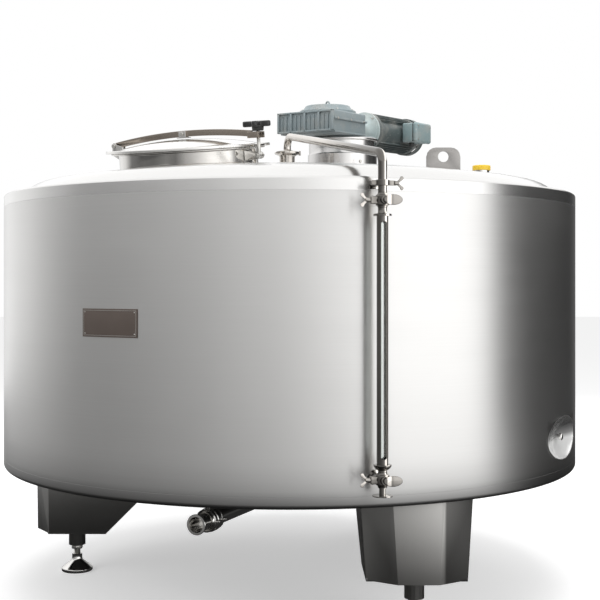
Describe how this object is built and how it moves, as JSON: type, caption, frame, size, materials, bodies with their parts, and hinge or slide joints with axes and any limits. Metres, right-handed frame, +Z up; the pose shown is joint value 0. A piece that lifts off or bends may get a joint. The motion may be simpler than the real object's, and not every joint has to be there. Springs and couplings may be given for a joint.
{
  "type": "bulk milk tank",
  "caption": "Round insulated milk cooling vat with dished head, clamped manway, geared agitator drive and sight gauge on folded legs.",
  "frame": {"origin": "on the tank axis at floor level, under the three feet", "axes": "+Z up; -Y is the front with the name plate and the sight gauge; +X to the right seen from the front"},
  "size_m": [2, 2.1528, 1.6873],
  "materials": {
    "jacket_steel": "fine horizontal brushing, satin",
    "vessel_steel": "bright annealed",
    "polished_steel": "mirror polished",
    "leg_steel": "folded sheet, satin",
    "plate_bronze": "etched plate, bare",
    "seal_rubber": "food-grade seal",
    "knob_plastic": "black moulded",
    "drive_paint": "grey-green enamel",
    "motor_paint": "dark enamel on fins",
    "sight_glass": "clear tube",
    "cap_plastic": "yellow moulded",
    "lever_plastic": "black moulded",
    "port_brass": "machined",
    "foam": "rigid foam"
  },
  "bodies": {
    "tank": {"outer_jacket": "jacket_steel", "top_ring": "jacket_steel", "bottom_pan": "jacket_steel", "vessel_wall": "vessel_steel", "vessel_head": "vessel_steel", "vessel_bottom": "vessel_steel", "evaporator_plate": "vessel_steel", "manway_neck": "polished_steel", "hinge_bracket": "polished_steel", "bolt_bracket": "polished_steel", "drive_stand": "polished_steel", "guard_tube": "polished_steel", "upper_cock": "polished_steel", "lower_cock": "polished_steel", "pipe_clamp": "polished_steel", "gauge_nozzle": "polished_steel", "balance_pipe": "polished_steel", "balance_nozzle": "polished_steel", "balance_reducer": "polished_steel", "lug_front": "polished_steel", "lug_rear": "polished_steel", "service_port": "polished_steel", "sample_cup": "polished_steel", "outlet_pipe": "polished_steel", "outlet_valve": "polished_steel", "outlet_tail": "polished_steel", "leg_front": "leg_steel", "leg_left": "leg_steel", "leg_rear": "leg_steel", "name_plate": "plate_bronze", "gearbox_housing": "drive_paint", "gearbox_cover": "drive_paint", "motor_adaptor": "drive_paint", "terminal_box": "drive_paint", "motor_housing": "motor_paint", "fan_cowl": "motor_paint", "sight_glass": "sight_glass", "coolant_inlet": "port_brass", "coolant_outlet": "port_brass", "insulation": "foam"},
    "lid": {"lid_gasket": "seal_rubber", "manway_lid": "polished_steel", "lid_arm": "polished_steel", "lid_clevis": "polished_steel"},
    "clamp_bolt": {"swing_bolt": "polished_steel"},
    "star_knob": {"star_knob": "knob_plastic"},
    "agitator": {"agitator_shaft": "vessel_steel", "agitator_paddle": "vessel_steel"},
    "motor_rotor": {"motor_shaft": "vessel_steel"},
    "upper_handle": {"upper_cock_handle": "polished_steel"},
    "lower_handle": {"lower_cock_handle": "polished_steel"},
    "upper_wing": {"upper_cock_wing": "polished_steel"},
    "lower_wing": {"lower_cock_wing": "polished_steel"},
    "clamp_wing": {"clamp_wing": "polished_steel"},
    "port_cap": {"port_cap": "cap_plastic"},
    "outlet_disc": {"valve_disc": "polished_steel", "valve_lever": "lever_plastic"},
    "foot_front": {"foot_front": "polished_steel"},
    "foot_left": {"foot_left": "polished_steel"},
    "foot_rear": {"foot_rear": "polished_steel"}
  },
  "joints": [
    {"name": "lid_hinge", "type": "hinge", "parent": "tank", "child": "lid", "pos_m": [-0.59095, -0.23121, 1.50121], "axis": [-0.526, -0.8395, -0.1363], "range_deg": [0, 100]},
    {"name": "clamp_bolt_swing", "type": "hinge", "parent": "lid", "child": "clamp_bolt", "pos_m": [-0.09485, -0.5317, 1.43744], "axis": [0.526, 0.8395, 0.1363], "range_deg": [0, 70]},
    {"name": "star_knob_spin", "type": "hinge", "parent": "clamp_bolt", "child": "star_knob", "pos_m": [-0.09485, -0.5317, 1.43744], "axis": [-0.0572, -0.125, 0.9905], "continuous": true},
    {"name": "agitator_spin", "type": "hinge", "parent": "tank", "child": "agitator", "pos_m": [0.19, 0, 1.43527], "axis": [0, -0.0262, 0.9997], "continuous": true},
    {"name": "motor_spin", "type": "hinge", "parent": "tank", "child": "motor_rotor", "pos_m": [0.19, -0.00416, 1.59402], "axis": [0.5878, 0.8087, 0.0212], "continuous": true},
    {"name": "upper_handle_turn", "type": "hinge", "parent": "tank", "child": "upper_handle", "pos_m": [0.25837, -1.06799, 1.26], "axis": [0.2351, -0.972, 0], "range_deg": [0, 90]},
    {"name": "lower_handle_turn", "type": "hinge", "parent": "tank", "child": "lower_handle", "pos_m": [0.25837, -1.06799, 0.5035], "axis": [-0.2351, 0.972, 0], "range_deg": [0, 90]},
    {"name": "upper_wing_spin", "type": "hinge", "parent": "tank", "child": "upper_wing", "pos_m": [0.21758, -1.04823, 1.26], "axis": [-0.972, -0.2351, 0], "continuous": true},
    {"name": "lower_wing_spin", "type": "hinge", "parent": "tank", "child": "lower_wing", "pos_m": [0.21758, -1.04823, 0.5035], "axis": [-0.972, -0.2351, 0], "continuous": true},
    {"name": "clamp_wing_spin", "type": "hinge", "parent": "tank", "child": "clamp_wing", "pos_m": [0.28319, -1.03236, 1.307], "axis": [0.972, 0.2351, 0], "continuous": true},
    {"name": "port_cap_lift", "type": "slide", "parent": "tank", "child": "port_cap", "axis": [0, 0, 1], "range_m": [0, 0.06]},
    {"name": "outlet_valve_turn", "type": "hinge", "parent": "tank", "child": "outlet_disc", "pos_m": [-0.24802, -0.57041, 0.3], "axis": [0, 0, 1], "range_deg": [0, 90]},
    {"name": "foot_front_turn", "type": "hinge", "parent": "tank", "child": "foot_front", "pos_m": [0.3726, -0.71125, 0], "axis": [0, 0, 1], "continuous": true},
    {"name": "foot_left_turn", "type": "hinge", "parent": "tank", "child": "foot_left", "pos_m": [-0.76525, 0, 0], "axis": [0, 0, 1], "continuous": true},
    {"name": "foot_rear_turn", "type": "hinge", "parent": "tank", "child": "foot_rear", "pos_m": [0.3726, 0.71125, 0], "axis": [0, 0, 1], "continuous": true}
  ],
  "couplings": [
    {"joint": "motor_spin", "follows": "agitator_spin", "ratio": 36}
  ]
}
